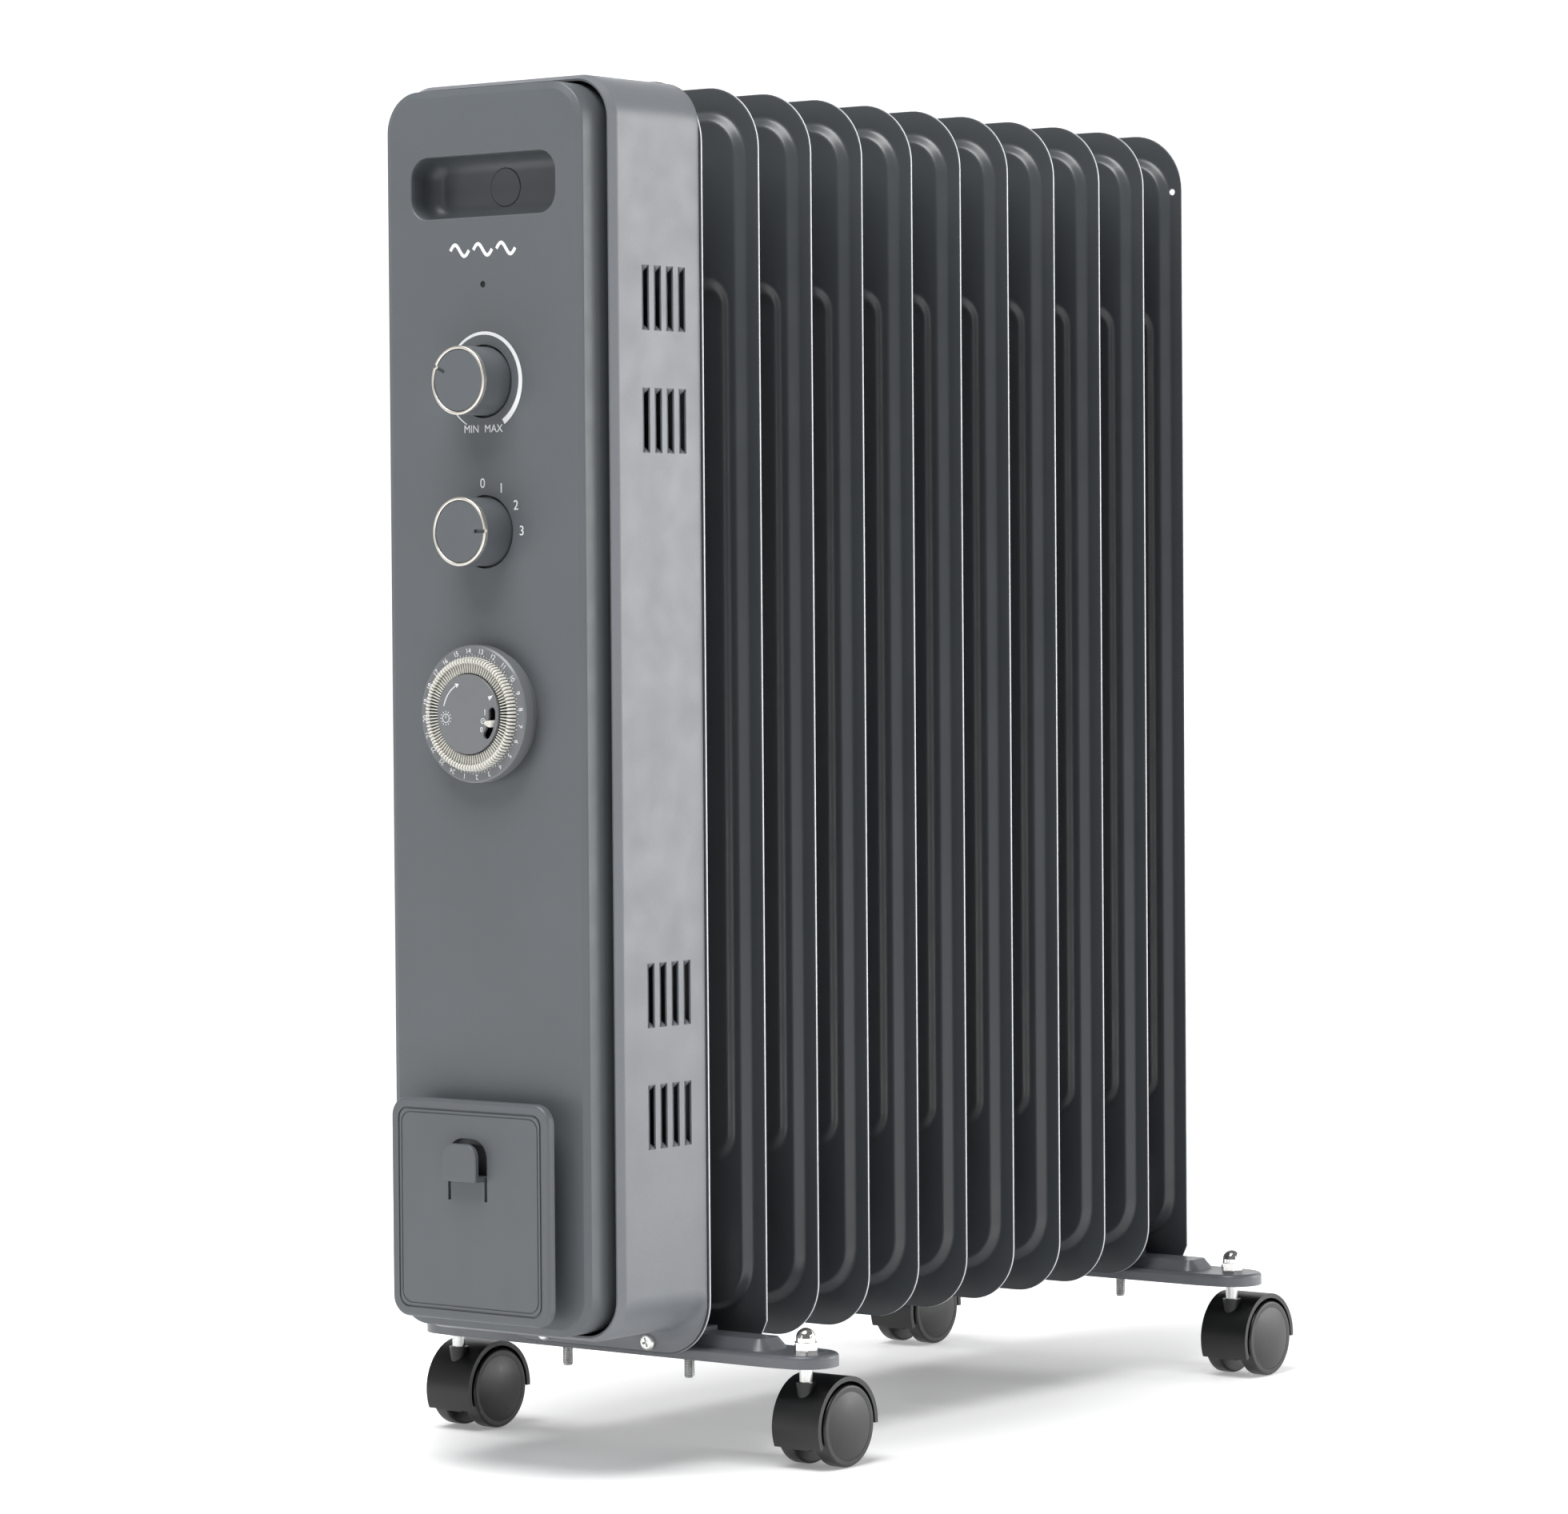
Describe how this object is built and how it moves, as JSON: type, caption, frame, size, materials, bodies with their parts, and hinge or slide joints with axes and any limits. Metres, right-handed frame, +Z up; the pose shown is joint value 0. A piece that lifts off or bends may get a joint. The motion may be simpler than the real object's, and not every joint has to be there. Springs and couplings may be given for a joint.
{
  "type": "oil filled radiator heater",
  "caption": "Oil filled column radiator heater with pressed fins, a front control case, mechanical timer, cord winding plate and twin-wheel swivel casters.",
  "frame": {"origin": "on the floor, under the middle of the whole heater's box", "axes": "+Z up, -Y out of the control panel, +Y along the row of fins, +X to the right of someone facing the panel"},
  "size_m": [0.2386, 0.5086, 0.6295],
  "materials": {
    "fin_paint": "satin powder coat",
    "case_paint": "satin powder coat",
    "foot_paint": "satin powder coat",
    "cover_plastic": "fine satin moulding",
    "knob_plastic": "satin moulding",
    "knob_trim": "satin champagne plating",
    "timer_plastic": "satin moulding",
    "white_plastic": "slightly glossy moulding",
    "black_plastic": "fine grain moulding",
    "wheel_plastic": "semi gloss moulding",
    "switch_plastic": "matt moulding",
    "terminal_plastic": "natural nylon",
    "lamp_lens": "dark red clear",
    "zinc_steel": "bright zinc plating",
    "zinc_thread": "bright zinc plated thread",
    "screw_steel": "bright zinc plating",
    "nut_chrome": "polished",
    "heater_steel": "dull",
    "gasket_fibre": "matt",
    "lead_rubber": "smooth sleeving",
    "weight_brass": "turned"
  },
  "bodies": {
    "heater": {"fin_01": "fin_paint", "fin_02": "fin_paint", "fin_03": "fin_paint", "fin_04": "fin_paint", "fin_05": "fin_paint", "fin_06": "fin_paint", "fin_07": "fin_paint", "fin_08": "fin_paint", "fin_09": "fin_paint", "fin_10": "fin_paint", "fin_11": "fin_paint", "oil_filler_plug": "zinc_steel", "heating_tubes": "heater_steel", "heater_flange": "zinc_steel", "heater_gasket": "gasket_fibre", "front_cover": "cover_plastic", "cord_inlet_bush": "black_plastic", "side_case": "case_paint", "case_screws": "screw_steel", "grip_pocket": "cover_plastic", "grip_plug": "cover_plastic", "indicator_lamp": "lamp_lens", "thermostat_body": "switch_plastic", "selector_body": "switch_plastic", "control_bracket": "zinc_steel", "timer_body": "timer_plastic", "timer_face": "timer_plastic", "cord_plate": "cover_plastic", "cord_hub": "cover_plastic", "thermal_cutout": "switch_plastic", "terminal_block": "terminal_plastic", "wiring_leads": "lead_rubber", "tip_switch_frame": "black_plastic", "front_foot": "foot_paint", "rear_foot": "foot_paint", "foot_saddles": "foot_paint", "clamp_rods": "zinc_thread", "clamp_nuts": "zinc_steel", "caster_stems": "zinc_steel", "cap_nuts": "nut_chrome"},
    "thermostat_dial": {"thermostat_knob": "knob_plastic", "thermostat_knob_ring": "knob_trim"},
    "selector_dial": {"selector_knob": "knob_plastic", "selector_knob_ring": "knob_trim"},
    "timer_ring": {"timer_dial": "timer_plastic", "timer_tappets": "white_plastic"},
    "override_lever": {"timer_override_lever": "white_plastic"},
    "tip_weight": {"tip_switch_weight": "weight_brass"},
    "caster_front_left": {"caster_hood_front_left": "black_plastic"},
    "roller_front_left_left": {"wheel_front_left_left": "wheel_plastic"},
    "roller_front_left_right": {"wheel_front_left_right": "wheel_plastic"},
    "caster_front_right": {"caster_hood_front_right": "black_plastic"},
    "roller_front_right_left": {"wheel_front_right_left": "wheel_plastic"},
    "roller_front_right_right": {"wheel_front_right_right": "wheel_plastic"},
    "caster_rear_left": {"caster_hood_rear_left": "black_plastic"},
    "roller_rear_left_left": {"wheel_rear_left_left": "wheel_plastic"},
    "roller_rear_left_right": {"wheel_rear_left_right": "wheel_plastic"},
    "caster_rear_right": {"caster_hood_rear_right": "black_plastic"},
    "roller_rear_right_left": {"wheel_rear_right_left": "wheel_plastic"},
    "roller_rear_right_right": {"wheel_rear_right_right": "wheel_plastic"}
  },
  "joints": [
    {"name": "thermostat_turn", "type": "hinge", "parent": "heater", "child": "thermostat_dial", "pos_m": [0, -0.23353, 0.4926], "axis": [0, 1, 0], "range_deg": [-86, 214]},
    {"name": "selector_turn", "type": "hinge", "parent": "heater", "child": "selector_dial", "pos_m": [0, -0.23353, 0.4252], "axis": [0, 1, 0], "range_deg": [-90, 0]},
    {"name": "timer_dial_turn", "type": "hinge", "parent": "heater", "child": "timer_ring", "pos_m": [0, -0.23353, 0.3436], "axis": [0, 1, 0], "continuous": true},
    {"name": "override_switch", "type": "hinge", "parent": "heater", "child": "override_lever", "pos_m": [0, -0.23353, 0.3436], "axis": [0, 1, 0], "range_deg": [-12, 12]},
    {"name": "tip_weight_swing", "type": "hinge", "parent": "heater", "child": "tip_weight", "pos_m": [-0.038, -0.17652, 0.164], "axis": [0, 1, 0], "range_deg": [-12, 12]},
    {"name": "swivel_front_left", "type": "hinge", "parent": "heater", "child": "caster_front_left", "pos_m": [-0.104, -0.13698, 0.03], "axis": [0, 0, 1], "continuous": true},
    {"name": "roll_front_left_left", "type": "hinge", "parent": "caster_front_left", "child": "roller_front_left_left", "pos_m": [-0.104, -0.12298, 0.0188], "axis": [1, 0, 0], "continuous": true},
    {"name": "roll_front_left_right", "type": "hinge", "parent": "caster_front_left", "child": "roller_front_left_right", "pos_m": [-0.104, -0.12298, 0.0188], "axis": [1, 0, 0], "continuous": true},
    {"name": "swivel_front_right", "type": "hinge", "parent": "heater", "child": "caster_front_right", "pos_m": [0.104, -0.13698, 0.03], "axis": [0, 0, 1], "continuous": true},
    {"name": "roll_front_right_left", "type": "hinge", "parent": "caster_front_right", "child": "roller_front_right_left", "pos_m": [0.104, -0.12298, 0.0188], "axis": [1, 0, 0], "continuous": true},
    {"name": "roll_front_right_right", "type": "hinge", "parent": "caster_front_right", "child": "roller_front_right_right", "pos_m": [0.104, -0.12298, 0.0188], "axis": [1, 0, 0], "continuous": true},
    {"name": "swivel_rear_left", "type": "hinge", "parent": "heater", "child": "caster_rear_left", "pos_m": [-0.104, 0.21773, 0.03], "axis": [0, 0, 1], "continuous": true},
    {"name": "roll_rear_left_left", "type": "hinge", "parent": "caster_rear_left", "child": "roller_rear_left_left", "pos_m": [-0.104, 0.23172, 0.0188], "axis": [1, 0, 0], "continuous": true},
    {"name": "roll_rear_left_right", "type": "hinge", "parent": "caster_rear_left", "child": "roller_rear_left_right", "pos_m": [-0.104, 0.23172, 0.0188], "axis": [1, 0, 0], "continuous": true},
    {"name": "swivel_rear_right", "type": "hinge", "parent": "heater", "child": "caster_rear_right", "pos_m": [0.104, 0.21773, 0.03], "axis": [0, 0, 1], "continuous": true},
    {"name": "roll_rear_right_left", "type": "hinge", "parent": "caster_rear_right", "child": "roller_rear_right_left", "pos_m": [0.104, 0.23172, 0.0188], "axis": [1, 0, 0], "continuous": true},
    {"name": "roll_rear_right_right", "type": "hinge", "parent": "caster_rear_right", "child": "roller_rear_right_right", "pos_m": [0.104, 0.23172, 0.0188], "axis": [1, 0, 0], "continuous": true}
  ]
}
